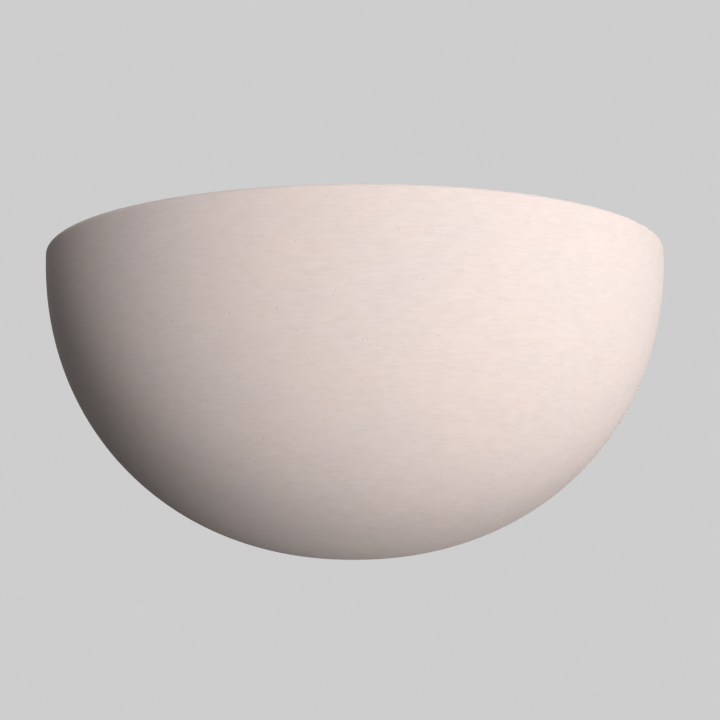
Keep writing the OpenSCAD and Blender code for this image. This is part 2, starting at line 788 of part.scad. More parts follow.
// The skirt screws over the dome's neck. Its ribs are for the fingers.
module holder_skirt() color(black) {
  ribs = 24;
  rib_r = 0.7;
  rib_sunk = 0.1;
  rib_from_back = 2;
  rib_from_mouth = 3;
  skirt_gap = 0.1;
  chamfer = 0.6;
  back_x = neck_start_x + skirt_gap;
  seat_x = neck_end_x + insert_flange + skirt_gap;
  turned_piece([[neck_r + skirt_gap, back_x], [skirt_r - chamfer, back_x], [skirt_r, back_x + chamfer],
    [skirt_r, holder_mouth_x - 1.5], [skirt_r - 0.7, holder_mouth_x - 0.4], [skirt_r - 1.6, holder_mouth_x],
    [insert_r + insert_gap, holder_mouth_x], [insert_r + insert_gap, seat_x], [neck_r + skirt_gap, seat_x]]);
  for (i = [0:ribs - 1])
    on_lamp_axis() rotate([0, 0, 360 * i / ribs])
      translate([skirt_r - rib_sunk, 0, neck_start_x + rib_from_back])
        cylinder(r = rib_r, h = holder_mouth_x - neck_start_x - rib_from_back - rib_from_mouth);
}

// The insulating core: a cup for the screw shell, and a flange held between dome and skirt
module holder_insert() color(white) difference() {
  flange_r = neck_r - 0.2;
  flange_x = neck_end_x + insert_flange;
  cup_r = insert_r - insert_wall;
  turned_piece([[0, disc_back_x], [insert_r, disc_back_x], [insert_r, neck_end_x], [flange_r, neck_end_x],
    [flange_r, flange_x], [insert_r, flange_x], [insert_r, holder_mouth_x - 2],
    [insert_r - 1, holder_mouth_x - 1.5], [cup_r, holder_mouth_x - 1.5], [cup_r, disc_front_x],
    [0, disc_front_x]]);
  on_lamp_axis() translate([-contact_root_z, 0, disc_back_x - through])
    cylinder(r = contact_hole_r, h = disc_front_x - disc_back_x + 2 * through);
}

// The threaded sleeve that the lamp screws into
module holder_thread_shell() color(brass) turned_piece(concat(
  wave(sleeve_inner_r + sleeve_thick, sleeve_wave, cap_pitch, sleeve_start_x, sleeve_end_x, sleeve_steps),
  turned(wave(sleeve_inner_r, sleeve_wave, cap_pitch, sleeve_start_x, sleeve_end_x, sleeve_steps))));

module holder_terminals() color(brass)
  for (z = [-terminal_offset, terminal_offset])
    translate([terminal_back_x, -lamp_out, lamp_up + z]) difference() {
      translate([0, -holder_terminal / 2, -holder_terminal / 2])
        cube([disc_back_x - terminal_back_x, holder_terminal, holder_terminal]);
      translate([-through, 0, 0]) rotate([0, 90, 0]) cylinder(r = lead_r + lead_play, h = 5);
      translate([terminal_screw_x, 0, 0]) rotate([0, z > 0 ? 0 : 180, 0]) cylinder(r = 1.25, h = 5);
    }

module holder_terminal_screws() color(zinc)
  for (z = [-terminal_offset, terminal_offset])
    translate([terminal_back_x + terminal_screw_x, -lamp_out, lamp_up + z]) rotate([0, z > 0 ? 0 : 180, 0])
      translate([0, 0, core_r + 2 * fit_gap])
        slotted_screw(shank_r = 1.2, shank = 2.6, head_r = 1.7, head = 1.2, slot_cut = 0.5);

// The sprung tongue that meets the lamp's tip: a flat foot and a leaf that rises to a round button
module centre_contact() color(brass) {
  foot_x = disc_front_x + 0.3;
  foot_half = contact_foot;
  button_x = cap_tip_x - 2 * fit_gap - button_thick;
  rise = -contact_root_z - foot_half;
  lean = atan2(button_x - 0.2 - foot_x, rise);
  root = [foot_x, -lamp_out - contact_width / 2, lamp_up + contact_root_z];
  translate(root - [0, 0, foot_half]) cube([contact_thick, contact_width, 2 * foot_half]);
  translate(root + [0, 0, foot_half - contact_thick / 2]) rotate([0, lean, 0])
    cube([contact_thick, contact_width, rise / cos(lean) + 1.5]);
  on_lamp_axis() translate([0, 0, button_x]) cylinder(r = button_r, h = button_thick);
}

module centre_contact_rivet() color(brass) on_lamp_axis() translate([-contact_root_z, 0, 0]) {
  translate([0, 0, disc_back_x]) cylinder(r = contact_rivet_r, h = disc_front_x - disc_back_x + 2 * fit_gap);
  translate([0, 0, disc_back_x - contact_rivet_head])
    cylinder(r = contact_rivet_head_r, h = contact_rivet_head);
}

// ---------- lamp ----------

// Outline of the bulb's surface, set in by some distance: a ball, and a shoulder that flows into the neck
function bulb_outline(inset) =
  let (r = bulb_r - inset,
    shoulder = shoulder_r + inset,
    neck = neck_glass_r - inset,
    rise = neck + shoulder,
    run = sqrt(pow(r + shoulder, 2) - rise * rise),
    turn = atan2(rise, run))
  concat([[neck, glass_start_x]],
    arc([rise, bulb_x - run], shoulder, 180, 180 - 90 + turn, 10),
    [for (p = arc([0, bulb_x], r, turn - 90, 90, 22)) [max(p[0], 0), p[1]]]);

module lamp_envelope() color([0.96, 0.93, 0.84, 0.6])
  turned_piece(concat(bulb_outline(0), turned(bulb_outline(glass))));

module lamp_cap() color(zinc) {
  steps = 34;
  root = cap_crest_r - cap_wave;
  high = cap_end_x - 4;
  turned_piece(concat(
    [[cap_mouth_r, cap_start_x - 1]],
    wave(root, cap_wave, cap_pitch, cap_start_x, high, steps),
    [[cap_crest_r, high + 1], [cap_crest_r, cap_end_x], [cap_crest_r - cap_thick, cap_end_x],
      [cap_crest_r - cap_thick, high + 1]],
    turned(wave(root - cap_thick, cap_wave, cap_pitch, cap_start_x, high, steps)),
    [[cap_mouth_r, cap_start_x - 1 + cap_thick]]));
}

module lamp_cap_insulator() color(black) {
  glass_r = cap_mouth_r - 0.2;
  turned_piece([[0, cap_tip_x + tip_height], [tip_r + 0.1, cap_tip_x + tip_height],
    [glass_r, cap_start_x - 1], [glass_r, cap_start_x], [0, cap_start_x]]);
}

module lamp_tip_contact() color(solder) turned_piece([[0, cap_tip_x], [tip_r / 2, cap_tip_x],
  [4, cap_tip_x + 0.5], [tip_r, cap_tip_x + tip_height], [0, cap_tip_x + tip_height]]);

module lamp_stem() color([0.85, 0.90, 0.90, 0.5]) turned_piece([[0, press_x - 14],
  [3.4, glass_start_x + 6], [5.4, glass_start_x + 2.5], [neck_glass_r - glass - 0.1, glass_start_x],
  [neck_glass_r - glass - 0.1, glass_start_x + 0.9], [6.4, glass_start_x + 3.6], [4.6, glass_start_x + 8],
  [4.6, press_x - 2], [1.4, press_x + 1], [1.2, stem_tip_x - 1.5], [2, stem_tip_x - 0.6],
  [2, stem_tip_x + 0.6], [1.2, stem_tip_x + 1.2], [0, stem_tip_x + 1.2]]);

// The glowing wire: most of a circle round the lamp's axis
module lamp_filament() color("orange") on_lamp_axis() translate([0, 0, filament_x])
  rotate([0, 0, filament_start]) rotate_extrude(angle = filament_sweep)
    translate([filament_r, 0]) circle(filament_wire, $fn = 16);

// The two wires that carry the filament's ends
module lamp_lead_wires() color(zinc)
  for (side = [-1, 1]) {
    a = filament_start + filament_sweep / 2 + side * (filament_sweep / 2 - 2);
    ray = [0, sin(a), -cos(a)];
    centre = [0, -lamp_out, lamp_up];
    from = [press_x - 4, 0, 0] + centre + 3 * ray;
    rod(from, [filament_x, 0, 0] + centre + filament_r * ray, lamp_lead_wire);
  }

// The three fine wires that hold the filament in place
module lamp_support_wires() color(zinc)
  for (a = [60, 0, -60]) {
    ray = [0, sin(a - 90), -cos(a - 90)];
    centre = [0, -lamp_out, lamp_up];
    from = [stem_tip_x, 0, 0] + centre + 1.6 * ray;
    rod(from, [filament_x, 0, 0] + centre + (filament_r - 0.1) * ray, lamp_support_wire);
  }

// ---------- the sides' own pieces ----------

module thumb_screw_left() thumb_screw(-1);
module thumb_screw_right() thumb_screw(1);
module thumb_washer_left() thumb_washer(-1);
module thumb_washer_right() thumb_washer(1);
module ear_pad_left() ear_pad(-1);
module ear_pad_right() ear_pad(1);
module clinch_nut_left() clinch_nut(-1);
module clinch_nut_right() clinch_nut(1);

ceramic_shell();
wall_plate();
cable_grommet();
lampholder_arm();
arm_rivets();
lead_grommet();
earth_screw();
earth_washer();
earth_ring_terminal();
terminal_block();
terminal_clamps();
terminal_screws();
terminal_block_screw();
holder_dome();
holder_skirt();
holder_insert();
holder_thread_shell();
holder_terminals();
holder_terminal_screws();
centre_contact_rivet();
centre_contact();
holder_nipple();
nipple_locknut();
nipple_washer();
nipple_bush();
lamp_cap();
lamp_cap_insulator();
lamp_tip_contact();
lamp_envelope();
lamp_stem();
lamp_filament();
lamp_lead_wires();
lamp_support_wires();
live_lead();
neutral_lead();
earth_lead();
conductor_ends();
thumb_screw_left();
thumb_screw_right();
thumb_washer_left();
thumb_washer_right();
ear_pad_left();
ear_pad_right();
clinch_nut_left();
clinch_nut_right();
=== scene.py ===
# %% [markdown]
# # A half-bowl uplighter
# This light is a half bowl of unglazed ceramic that hangs on a steel wall plate. Its back and its top are
# open, and it hides one lamp. The construction comes in ready made, as a fixed frame in real metres. This
# script gives it its looks: the bowl, the bulb and the leads are modelled again with smoother surfaces, and
# every other piece keeps its shape and gets a finish.

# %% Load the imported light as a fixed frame
import json
import math
import bmesh
import bpy
from mathutils import Matrix, Vector


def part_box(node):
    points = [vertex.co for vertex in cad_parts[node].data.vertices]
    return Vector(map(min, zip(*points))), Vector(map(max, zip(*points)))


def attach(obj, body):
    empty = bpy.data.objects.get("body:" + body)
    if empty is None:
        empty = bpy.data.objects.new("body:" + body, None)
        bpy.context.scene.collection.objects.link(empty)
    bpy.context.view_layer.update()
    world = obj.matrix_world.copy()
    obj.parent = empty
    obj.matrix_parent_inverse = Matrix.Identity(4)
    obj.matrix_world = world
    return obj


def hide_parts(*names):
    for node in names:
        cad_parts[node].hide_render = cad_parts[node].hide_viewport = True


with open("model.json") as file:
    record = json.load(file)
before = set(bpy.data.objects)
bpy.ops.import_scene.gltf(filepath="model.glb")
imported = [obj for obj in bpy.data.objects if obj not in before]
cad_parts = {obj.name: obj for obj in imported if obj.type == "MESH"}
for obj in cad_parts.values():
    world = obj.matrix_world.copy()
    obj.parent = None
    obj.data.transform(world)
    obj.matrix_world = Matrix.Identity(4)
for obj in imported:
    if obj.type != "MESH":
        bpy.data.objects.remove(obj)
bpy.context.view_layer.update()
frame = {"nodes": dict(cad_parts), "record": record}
NODES = frame["nodes"]
MM = 0.001
TINY = 0.01 * MM

# %% [markdown]
# ## Camera
# The picture was taken from below the middle of the bowl, looking up. How far away is not known: from 700 mm
# the bowl's outline fits the picture closely, so the camera stands there. Three turns aim it, one after
# another: a small turn to the left, a tilt upwards, and a roll about its own line of sight.

# %% Place the camera
CAMERA_AT = Vector((0.006, -0.689, -0.134))
LOOKS_UP = math.radians(11.6)
LOOKS_LEFT = math.radians(0.3)
ROLL = math.radians(-0.35)
LENS_MM = 70.1
SENSOR_MM = 36.0
NEAREST_SEEN = 10 * MM

bpy.ops.object.camera_add(location=CAMERA_AT)
camera = bpy.context.object
aim = Matrix.Rotation(LOOKS_LEFT, 4, "Z")
aim = aim @ Matrix.Rotation(math.radians(90) + LOOKS_UP, 4, "X")
aim = aim @ Matrix.Rotation(ROLL, 4, "Z")
camera.rotation_euler = aim.to_euler()
camera.data.lens = LENS_MM
camera.data.sensor_width = SENSOR_MM
camera.data.clip_start = NEAREST_SEEN
bpy.context.scene.camera = camera
print("camera at", tuple(round(c, 3) for c in CAMERA_AT))

# %% [markdown]
# ## Room and light
# A light like this is looked at from below as well as from above, so the floor lies far under it, and nothing
# stands behind it, where it would hide the back. The world has two colours: a dim one that lights the pieces,
# and a pale one that eyes, metal and glass see. Two soft lamps share the front: one high and a little to the
# right, and a wider one low on the right. Together they let the bowl's left end and its bottom fall into
# shade. The two at the back are there for what the front view doesn't see. They stand high, because the flat
# steel plate would mirror a lamp that stood straight behind it.

# %% Light the world
AMBIENT = (0.165, 0.165, 0.17, 1.0)
SEEN = (0.62, 0.615, 0.62, 1.0)


def seen_rays(tree):
    """Is 1 for rays that look: from the camera, off gloss or through glass. Is 0 for bounced light."""
    rays = tree.nodes.new("ShaderNodeLightPath")
    seen = rays.outputs["Is Camera Ray"]
    for kind in ("Is Glossy Ray", "Is Transmission Ray"):
        larger = tree.nodes.new("ShaderNodeMath")
        larger.operation = "MAXIMUM"
        tree.links.new(seen, larger.inputs[0])
        tree.links.new(rays.outputs[kind], larger.inputs[1])
        seen = larger.outputs[0]
    return seen


world = bpy.data.worlds.new("studio_world")
bpy.context.scene.world = world
world.use_nodes = True
sky = world.node_tree
sky.nodes.clear()
dim = sky.nodes.new("ShaderNodeBackground")
dim.inputs["Color"].default_value = AMBIENT
pale = sky.nodes.new("ShaderNodeBackground")
pale.inputs["Color"].default_value = SEEN
either = sky.nodes.new("ShaderNodeMixShader")
sky_out = sky.nodes.new("ShaderNodeOutputWorld")
sky.links.new(seen_rays(sky), either.inputs[0])
sky.links.new(dim.outputs[0], either.inputs[1])
sky.links.new(pale.outputs[0], either.inputs[2])
sky.links.new(either.outputs[0], sky_out.inputs["Surface"])
print("world: ambient", AMBIENT[0], "seen", SEEN[0])


# %% Hang the lamps
def soft_light(name, towards, distance, size, level):
    """A square lamp. At level 1 a surface that faces it has the brightness of its own colour."""
    at = Vector(towards).normalized() * distance
    bpy.ops.object.light_add(type="AREA", location=at)
    lamp = bpy.context.object
    lamp.name = name
    lamp.data.shape = "SQUARE"
    lamp.data.size = size
    lamp.data.energy = level * math.pi ** 2 * distance ** 2
    lamp.rotation_euler = (-at).to_track_quat("-Z", "Y").to_euler()
    lamp.visible_camera = False


soft_light("front_high", towards=(0.34, -0.82, 0.38), distance=1.7, size=0.5, level=0.37)
soft_light("front_low_right", towards=(0.62, -0.73, -0.28), distance=1.5, size=0.9, level=0.63)
soft_light("back_high", towards=(0.15, 0.80, 0.60), distance=1.8, size=1.2, level=0.55)
soft_light("back_higher", towards=(-0.12, 0.70, 0.70), distance=1.8, size=0.8, level=0.30)
bpy.context.scene.view_settings.view_transform = "Standard"

# %% [markdown]
# ## Finishes
# Each finish is a small network of nodes that works on the piece's own coordinates in metres, so its grain
# has a real size. Values that are the same all over a piece go straight on the shader, and only what changes
# from place to place, such as clouding, scratches or pits, is made by nodes.


# %% Helpers for finishes
# The Mix node has sockets for each kind of data. These are the numbers of the ones that colours use.
MIX_SHARE, MIX_FIRST, MIX_SECOND, MIX_RESULT = 0, 6, 7, 2
# A noise goes from 0 to 1, and most of it lies in this stretch.
NOISE_SPREAD = (0.3, 0.7)


class Finish:
    """One material: a shader with plain values, and the patterns that are laid on it."""

    def __init__(self, name, **plain):
        self.material = bpy.data.materials.new(name)
        self.material.use_nodes = True
        self.tree = self.material.node_tree
        self.shader = self.tree.nodes["Principled BSDF"]
        self.place = self.tree.nodes.new("ShaderNodeTexCoord").outputs["Object"]
        for socket, value in plain.items():
            self.shader.inputs[socket.replace("_", " ")].default_value = value

    def noise(self, size, detail=3, stretch=(1, 1, 1)):
        """A cloudy pattern whose lumps are about size across, times stretch along each axis."""
        mapping = self.tree.nodes.new("ShaderNodeMapping")
        mapping.inputs["Scale"].default_value = [1 / (size * s) for s in stretch]
        self.tree.links.new(self.place, mapping.inputs["Vector"])
        pattern = self.tree.nodes.new("ShaderNodeTexNoise")
        pattern.inputs["Scale"].default_value = 1
        pattern.inputs["Detail"].default_value = detail
        self.tree.links.new(mapping.outputs[0], pattern.inputs["Vector"])
        return pattern.outputs["Fac"]

    def cells(self, size):
        """How far it is to the nearest of many points strewn about size apart, counted in sizes."""
        pattern = self.tree.nodes.new("ShaderNodeTexVoronoi")
        pattern.inputs["Scale"].default_value = 1 / size
        self.tree.links.new(self.place, pattern.inputs["Vector"])
        return pattern.outputs["Distance"]

    def along(self, axis):
        """The place along one axis, in metres."""
        split = self.tree.nodes.new("ShaderNodeSeparateXYZ")
        self.tree.links.new(self.place, split.inputs[0])
        return split.outputs[axis]

    def range(self, value, low, high, to_low, to_high):
        """The stretch of a value from low to high, moved to another stretch and held at its ends."""
        node = self.tree.nodes.new("ShaderNodeMapRange")
        self.tree.links.new(value, node.inputs["Value"])
        node.inputs["From Min"].default_value = low
        node.inputs["From Max"].default_value = high
        node.inputs["To Min"].default_value = to_low
        node.inputs["To Max"].default_value = to_high
        return node.outputs["Result"]

    def mix(self, share, first, second):
        """Goes from the first colour to the second as share goes from 0 to 1."""
        node = self.tree.nodes.new("ShaderNodeMix")
        node.data_type = "RGBA"
        self.tree.links.new(share, node.inputs[MIX_SHARE])
        for socket, colour in ((node.inputs[MIX_FIRST], first), (node.inputs[MIX_SECOND], second)):
            if isinstance(colour, bpy.types.NodeSocket):
                self.tree.links.new(colour, socket)
            else:
                socket.default_value = (*colour, 1.0)
        return node.outputs[MIX_RESULT]

    def set(self, socket, pattern):
        """Puts a pattern on one socket of the shader, in place of what was there."""
        self.tree.links.new(pattern, self.shader.inputs[socket])

    def relief(self, height, depth):
        """Lifts and sinks the surface's shading by a pattern, depth metres from its lowest to its highest."""
        node = self.tree.nodes.new("ShaderNodeBump")
        node.inputs["Distance"].default_value = depth
        self.tree.links.new(height, node.inputs["Height"])
        below = self.shader.inputs["Normal"].links
        if below:
            self.tree.links.new(below[0].from_socket, node.inputs["Normal"])
        self.tree.links.new(node.outputs["Normal"], self.shader.inputs["Normal"])


print("finish helpers ready")

# %% [markdown]
# ### Unglazed ceramic
# Bisque is chalky and has no gloss. Close up it is never one colour. Broad warm and cool patches lie under
# smaller mauve clouds and a mottle of a few millimetres, and over all of them run fine, short, level streaks
# from the sponge that smoothed it. Pale specks and small pits are strewn all over, each so faint that it only
# takes the evenness away. The pits are sunk, and their darker colour is painted shade in those hollows. The
# patches, clouds, mottle and streaks are noises of their own sizes, the last two drawn out level, and the
# specks and pits are the small middles of scattered cells.

# %% Bisque ceramic
def bisque_ceramic():
    finish = Finish("matt_bisque", Roughness=0.92, Specular_IOR_Level=0.2, Diffuse_Roughness=0.25)
    warm, cool, mauve = (0.925, 0.787, 0.722), (0.900, 0.785, 0.742), (0.870, 0.757, 0.735)
    pale_streak, pale_speck, painted_pit_shade = (0.960, 0.860, 0.815), (0.980, 0.920, 0.880), (0.55, 0.46, 0.43)
    shade = (0.855, 0.735, 0.685)
    # Each range gives the stretch of its pattern that counts, then the new colour's share at its two ends.
    broad_patches = finish.noise(60 * MM, detail=2)
    body = finish.mix(finish.range(broad_patches, 0.35, 0.65, 0, 1), warm, cool)
    clouds = finish.noise(13 * MM, detail=3, stretch=(1.6, 1.6, 1))
    body = finish.mix(finish.range(clouds, 0.40, 0.70, 0, 0.45), body, mauve)
    mottle = finish.noise(4 * MM, detail=3, stretch=(2, 2, 1))
    body = finish.mix(finish.range(mottle, 0.40, 0.68, 0, 0.45), body, shade)
    streaks = finish.noise(0.9 * MM, detail=4, stretch=(7, 7, 1))
    body = finish.mix(finish.range(streaks, 0.38, 0.70, 0, 0.50), body, pale_streak)
    specks = finish.cells(7.3 * MM)
    body = finish.mix(finish.range(specks, 0.03, 0.07, 0.5, 0), body, pale_speck)
    # The pits are sunk by the last relief, and their darker colour is painted shade in those hollows.
    pits = finish.cells(5 * MM)
    finish.set("Base Color", finish.mix(finish.range(pits, 0.03, 0.08, 0.35, 0), body, painted_pit_shade))
    finish.relief(streaks, 0.02 * MM)
    finish.relief(finish.noise(0.6 * MM, detail=2), 0.04 * MM)
    finish.relief(finish.range(pits, 0.03, 0.09, 0, 1), 0.10 * MM)
    return finish


# %% [markdown]
# ### Metals
# All metals here share one recipe: a metallic shader whose colour and roughness drift a little from place to
# place, with fine marks of the tool that made it. Zinc has a bluish bloom, turned brass has rings too fine to
# see one by one, and the lamp's cap is rolled from soft aluminium.

# %% One recipe for every metal
BLOOM_SPREAD = (0.35, 0.7)
MARK_SIZE = 0.25 * MM
MARK_STRETCH = (1, 1, 6)
METAL_SMOOTHER, METAL_ROUGHER = 0.07, 0.09


def metal(name, bright, dull, rough, bloom, scratch):
    """bloom is the size of the dull patches, and scratch is how deep the fine marks are."""
    finish = Finish(name, Metallic=1.0)
    patches = finish.range(finish.noise(bloom, detail=4), *BLOOM_SPREAD, 0, 1)
    finish.set("Base Color", finish.mix(patches, bright, dull))
    marks = finish.noise(MARK_SIZE, detail=3, stretch=MARK_STRETCH)
    roughness = finish.range(marks, *NOISE_SPREAD, rough - METAL_SMOOTHER, rough + METAL_ROUGHER)
    finish.set("Roughness", roughness)
    finish.relief(marks, scratch)
    return finish


# %% [markdown]
# ### Mouldings, rubber and silicone
# Moulded pieces are even in colour, with a faint mottle and a satin skin that scatters light. The black
# lampholder is a hard thermoset, the terminal block is nylon, the lampholder's core is pressed steatite, and
# the grommets and pads are matt rubber. The leads have a smooth silicone skin.

# %% One recipe for every moulding
MOTTLE_SIZE = 4 * MM
SKIN_SMOOTHER, SKIN_ROUGHER = 0.05, 0.07
STRIPE_STARTS_Z, STRIPE_FULL_Z = 0.25 * MM, 0.35 * MM


def moulding(name, colour, mottled, rough, grain, depth):
    """grain is the size of the skin's texture, and depth is how deep it is."""
    finish = Finish(name, Specular_IOR_Level=0.45)
    clouds = finish.range(finish.noise(MOTTLE_SIZE, detail=3), *NOISE_SPREAD, 0, 1)
    finish.set("Base Color", finish.mix(clouds, colour, mottled))
    skin = finish.noise(grain, detail=3)
    roughness = finish.range(skin, *NOISE_SPREAD, rough - SKIN_SMOOTHER, rough + SKIN_ROUGHER)
    finish.set("Roughness", roughness)
    finish.relief(skin, depth)
    return finish


def earth_silicone():
    """Green silicone with a yellow stripe along its upper side, which takes the place of any mottle."""
    green, yellow = (0.05, 0.30, 0.08), (0.80, 0.62, 0.05)
    finish = moulding("green_yellow_silicone", green, green, 0.45, 0.4 * MM, 0.01 * MM)
    stripe = finish.range(finish.along("Z"), STRIPE_STARTS_Z, STRIPE_FULL_Z, 0, 1)
    finish.set("Base Color", finish.mix(stripe, green, yellow))
    return finish


# %% [markdown]
# ### Glass and glowing wire
# The bulb is frosted on its inside and lit, so it is a soft, warm glow with the sheen of glass on it. Its
# glow is a plain value on the shader. It is kept low, because the lamps of the studio are plain too, and a
# bulb at its real strength would drown the bowl.

# %% Glass
def frosted_glass():
    finish = Finish("frosted_bulb_glass", Transmission_Weight=0.35, IOR=1.45,
                    Emission_Color=(1.0, 0.72, 0.40, 1.0), Emission_Strength=0.55)
    pale, grey = (0.62, 0.57, 0.50), (0.56, 0.51, 0.44)
    frost = finish.noise(0.4 * MM, detail=3)
    grains = finish.range(frost, *NOISE_SPREAD, 0, 1)
    finish.set("Base Color", finish.mix(grains, pale, grey))
    finish.set("Roughness", finish.range(frost, *NOISE_SPREAD, 0.26, 0.36))
    return finish


def clear_glass():
    finish = Finish("clear_stem_glass", Transmission_Weight=1.0, IOR=1.5)
    clear, greenish = (0.93, 0.97, 0.96), (0.86, 0.92, 0.91)
    seeds = finish.noise(1.5 * MM, detail=2)
    finish.set("Base Color", finish.mix(seeds, clear, greenish))
    finish.set("Roughness", finish.range(seeds, *NOISE_SPREAD, 0.02, 0.07))
    return finish


def glowing_wire():
    hot, cooler = (1.0, 0.80, 0.45), (0.9, 0.62, 0.3)
    finish = metal("glowing_filament", hot, cooler, 0.4, 1 * MM, 0.01 * MM)
    finish.shader.inputs["Emission Color"].default_value = (1.0, 0.66, 0.28, 1.0)
    finish.shader.inputs["Emission Strength"].default_value = 6.0
    return finish


# %% [markdown]
# ### Which finish goes where
# The construction names a material slot for every piece. Each slot gets one finish here, and every node of
# the frame is given the finish of its own slot. Metals and mouldings are rows of two tables. Pieces that are
# modelled again further down take their finish from the same place.

# %% Colours and grain of each metal and moulding
# slot: name, bright colour, dull colour, roughness, size of the bloom in mm, depth of the marks in mm
METALS = {
    "zinc_plated_steel": ("zinc_plate", (0.74, 0.76, 0.79), (0.56, 0.58, 0.62), 0.34, 6, 0.02),
    "aluminium_rivet": ("rivet_aluminium", (0.80, 0.80, 0.80), (0.66, 0.66, 0.67), 0.38, 2, 0.02),
    "brass": ("turned_brass", (0.83, 0.65, 0.32), (0.64, 0.46, 0.20), 0.28, 5, 0.015),
    "tinned_copper": ("tinned_copper", (0.76, 0.73, 0.66), (0.60, 0.55, 0.48), 0.36, 2, 0.02),
    "bare_copper": ("bare_copper_wire", (0.85, 0.45, 0.27), (0.66, 0.30, 0.17), 0.30, 2, 0.02),
    "lamp_cap_aluminium": ("rolled_aluminium", (0.78, 0.78, 0.79), (0.62, 0.62, 0.63), 0.32, 4, 0.02),
    "solder": ("dull_solder", (0.66, 0.65, 0.62), (0.48, 0.47, 0.45), 0.50, 1.5, 0.04),
    "nickel_wire": ("nickel_wire", (0.66, 0.65, 0.61), (0.50, 0.49, 0.46), 0.35, 2, 0.01),
}
# slot: name, colour, mottled colour, roughness, size of the grain in mm, depth of the grain in mm
MOULDINGS = {
    "black_phenolic": ("black_thermoset", (0.028, 0.027, 0.028), (0.042, 0.039, 0.038), 0.38, 0.6, 0.02),
    "black_cap_glass": ("black_cap_glass", (0.02, 0.02, 0.025), (0.03, 0.03, 0.035), 0.15, 0.8, 0.01),
    "black_rubber": ("black_rubber", (0.030, 0.030, 0.031), (0.045, 0.044, 0.043), 0.75, 0.3, 0.04),
    "white_nylon": ("white_nylon", (0.80, 0.78, 0.72), (0.74, 0.72, 0.65), 0.45, 0.5, 0.02),
    "steatite": ("pressed_steatite", (0.78, 0.75, 0.67), (0.70, 0.66, 0.58), 0.62, 0.4, 0.04),
    "brown_lead": ("brown_silicone", (0.085, 0.030, 0.014), (0.11, 0.040, 0.018), 0.42, 0.4, 0.01),
    "blue_lead": ("blue_silicone", (0.02, 0.07, 0.36), (0.03, 0.09, 0.42), 0.42, 0.4, 0.01),
}
print(len(METALS), "metals and", len(MOULDINGS), "mouldings")

# %% Give every node its finish
FINISHES = {
    "bisque_ceramic": bisque_ceramic(),
    "filament_wire": glowing_wire(),
    "green_yellow_lead": earth_silicone(),
    "frosted_glass": frosted_glass(),
    "clear_glass": clear_glass(),
}
for recipe, table in ((metal, METALS), (moulding, MOULDINGS)):
    for slot_name, (name, first, second, rough, grain, depth) in table.items():
        FINISHES[slot_name] = recipe(name, first, second, rough, grain * MM, depth * MM)
SLOT_OF = {part["node"]: part["material_slot"] for part in frame["record"]["subparts"]}
for node, piece in NODES.items():
    for material_slot in piece.material_slots:
        material_slot.material = FINISHES[SLOT_OF[node]].material
print("finishes:", len(FINISHES), "on", len(NODES), "nodes")

# %% [markdown]
# ## Modelling helpers
# A lathe shape starts as a wire: one vertex, extruded from point to point along an outline. Operators act on
# all that is selected, so each piece starts with nothing selected, and edges are then chosen by where they
# lie.


# %% Draw a wire, choose edges, finish a piece
def draw_wire(name, points):
    """A wire through the points, drawn as by hand: one vertex is extruded from point to point."""
    bpy.ops.object.select_all(action="DESELECT")
    bpy.ops.mesh.primitive_plane_add(size=MM, location=points[0])
    piece = bpy.context.object
    piece.name = name
    bpy.ops.object.transform_apply(location=True, rotation=True, scale=True)
    bpy.ops.object.mode_set(mode="EDIT")
    bpy.ops.mesh.select_all(action="SELECT")
    bpy.ops.mesh.merge(type="CENTER")
    for here, there in zip(points, points[1:]):
        bpy.ops.mesh.extrude_region_move(TRANSFORM_OT_translate={"value": there - here})
    return piece


def choose_edges(piece, wanted):
    """In edit mode, selects only the edges for which wanted is true."""
    bpy.ops.mesh.select_mode(type="EDGE")
    bpy.ops.mesh.select_all(action="DESELECT")
    shape = bmesh.from_edit_mesh(piece.data)
    for edge in shape.edges:
        edge.select_set(wanted(edge))
    bmesh.update_edit_mesh(piece.data)
    return sum(edge.select for edge in shape.edges)


def tidy_surface():
    """In edit mode, merges doubles and turns every face outward."""
    bpy.ops.mesh.select_mode(type="VERT")
    bpy.ops.mesh.select_all(action="SELECT")
    bpy.ops.mesh.remove_doubles(threshold=TINY)
    bpy.ops.mesh.normals_make_consistent(inside=False)


def finish_piece(piece, slot_name, body, node, smooth_below=40):
    """Smooth shading below an angle in degrees, the slot's finish, and the node that it stands for."""
    bpy.ops.object.mode_set(mode="OBJECT")
    bpy.ops.object.select_all(action="DESELECT")
    piece.select_set(True)
    bpy.context.view_layer.objects.active = piece
    bpy.ops.object.transform_apply(location=True, rotation=True, scale=True)
    bpy.ops.object.shade_smooth_by_angle(angle=math.radians(smooth_below))
    piece.data.materials.clear()
    piece.data.materials.append(FINISHES[slot_name].material)
    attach(piece, body)
    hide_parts(node)
    print(piece.name, len(piece.data.polygons), "faces")


def arc(centre, radius, start, end, steps):
    """Points of a round stretch in a plane, as pairs. The angles are in degrees."""
    angles = [math.radians(start + (end - start) * i / steps) for i in range(steps + 1)]
    return [(centre[0] + radius * math.cos(a), centre[1] + radius * math.sin(a)) for a in angles]


print("modelling helpers ready")

# %% [markdown]
# ## The bowl
# The real bowl is cast in a mould, as one half of a round bowl squeezed flat against its open back. Its
# section is a little fuller than an ellipse. The same section is drawn here as a wire, spun through half a
# turn and squeezed. Then its open back edge is closed between the outer and the inner outline, which leaves
# the flat face that meets the wall. The outer sizes are read from the frame. The wall, the fullness and the
# rim's rounding are given here, as in the construction.

# %% Outline of the bowl
shell_low, shell_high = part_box("ceramic_shell")
BOWL_HALF = (shell_high[0] - shell_low[0]) / 2
BOWL_DEPTH = shell_high[1] - shell_low[1]
RIM_Z = shell_high[2]
BOWL_HEIGHT = RIM_Z - shell_low[2]
BOWL_WALL = 7 * MM
FULLNESS = 2.1
RIM_ROUND = 2.5 * MM
UNDER_RIM = 0.5 * MM
SIDE_STEPS = 56
RIM_STEPS = 7


